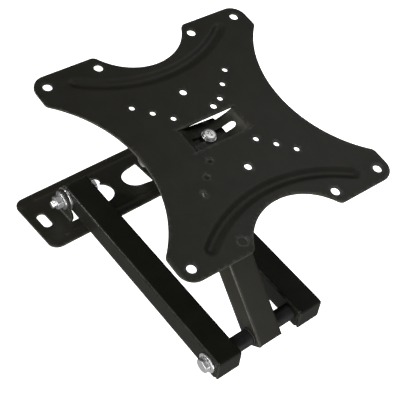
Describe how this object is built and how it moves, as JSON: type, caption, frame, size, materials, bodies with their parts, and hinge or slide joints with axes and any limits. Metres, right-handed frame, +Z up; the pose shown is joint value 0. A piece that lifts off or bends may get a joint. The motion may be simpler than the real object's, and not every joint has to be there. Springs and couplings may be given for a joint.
{
  "type": "full motion tv wall mount",
  "caption": "Full-motion TV wall mount: stamped wall plate, two-stage swinging arms, swivel head with arched tilt slot, and a cross-shaped screen plate.",
  "frame": {"origin": "middle of the wall plate's back face, on the wall", "axes": "+Y into the wall, the screen is on the -Y side; +Z up; +X to the right for someone who faces the wall"},
  "size_m": [0.3023, 0.229, 0.2238],
  "materials": {
    "powder_coat": "satin black powder coat, fine texture",
    "satin_black": "smooth black oxide, low gloss",
    "zinc_plate": "bright zinc plating",
    "nylon": "moulded black nylon"
  },
  "bodies": {
    "wall": {"wall_plate": "powder_coat", "wall_pivot_bolt_upper": "zinc_plate", "wall_pivot_nut_upper": "zinc_plate", "wall_pivot_outer_washer_upper": "zinc_plate", "wall_pivot_ear_washer_upper": "zinc_plate", "wall_pivot_bolt_lower": "zinc_plate", "wall_pivot_nut_lower": "zinc_plate", "wall_pivot_outer_washer_lower": "zinc_plate", "wall_pivot_ear_washer_lower": "zinc_plate"},
    "first_stage": {"upper_arm": "powder_coat", "lower_arm": "powder_coat", "elbow_bolt": "zinc_plate", "elbow_nut": "zinc_plate", "elbow_washer_upper": "zinc_plate", "elbow_washer_lower": "zinc_plate", "elbow_tube_upper": "satin_black", "elbow_tube_lower": "satin_black", "elbow_nylon_upper": "nylon", "elbow_nylon_lower": "nylon"},
    "second_stage": {"middle_arm": "powder_coat", "elbow_inner_sleeve": "zinc_plate", "head_inner_sleeve": "zinc_plate"},
    "head": {"head_bracket": "powder_coat", "head_pin": "zinc_plate", "head_pin_nut": "zinc_plate", "head_washer_upper": "zinc_plate", "head_washer_lower": "zinc_plate", "head_nylon_upper": "nylon", "head_nylon_lower": "nylon", "tilt_bolt": "zinc_plate", "tilt_washer_front": "zinc_plate", "tilt_washer_back": "zinc_plate", "tilt_nut": "zinc_plate"},
    "screen_plate": {"vesa_plate": "powder_coat"}
  },
  "joints": [
    {"name": "wall_pivot", "type": "hinge", "parent": "wall", "child": "first_stage", "pos_m": [-0.003, -0.0203, 0], "axis": [0, 0, 1], "range_deg": [0, 180]},
    {"name": "elbow", "type": "hinge", "parent": "first_stage", "child": "second_stage", "pos_m": [-0.23129, 0.00773, 0], "axis": [0, 0, -1], "range_deg": [-10, 250]},
    {"name": "head_swivel", "type": "hinge", "parent": "second_stage", "child": "head", "pos_m": [-0.13942, -0.12594, 0], "axis": [0, 0, 1], "range_deg": [-31, 52]},
    {"name": "tilt", "type": "hinge", "parent": "head", "child": "screen_plate", "pos_m": [-0.16181, -0.21304, -0.00761], "axis": [0.9685, -0.249, 0], "range_deg": [-8.4, 11.6]}
  ]
}
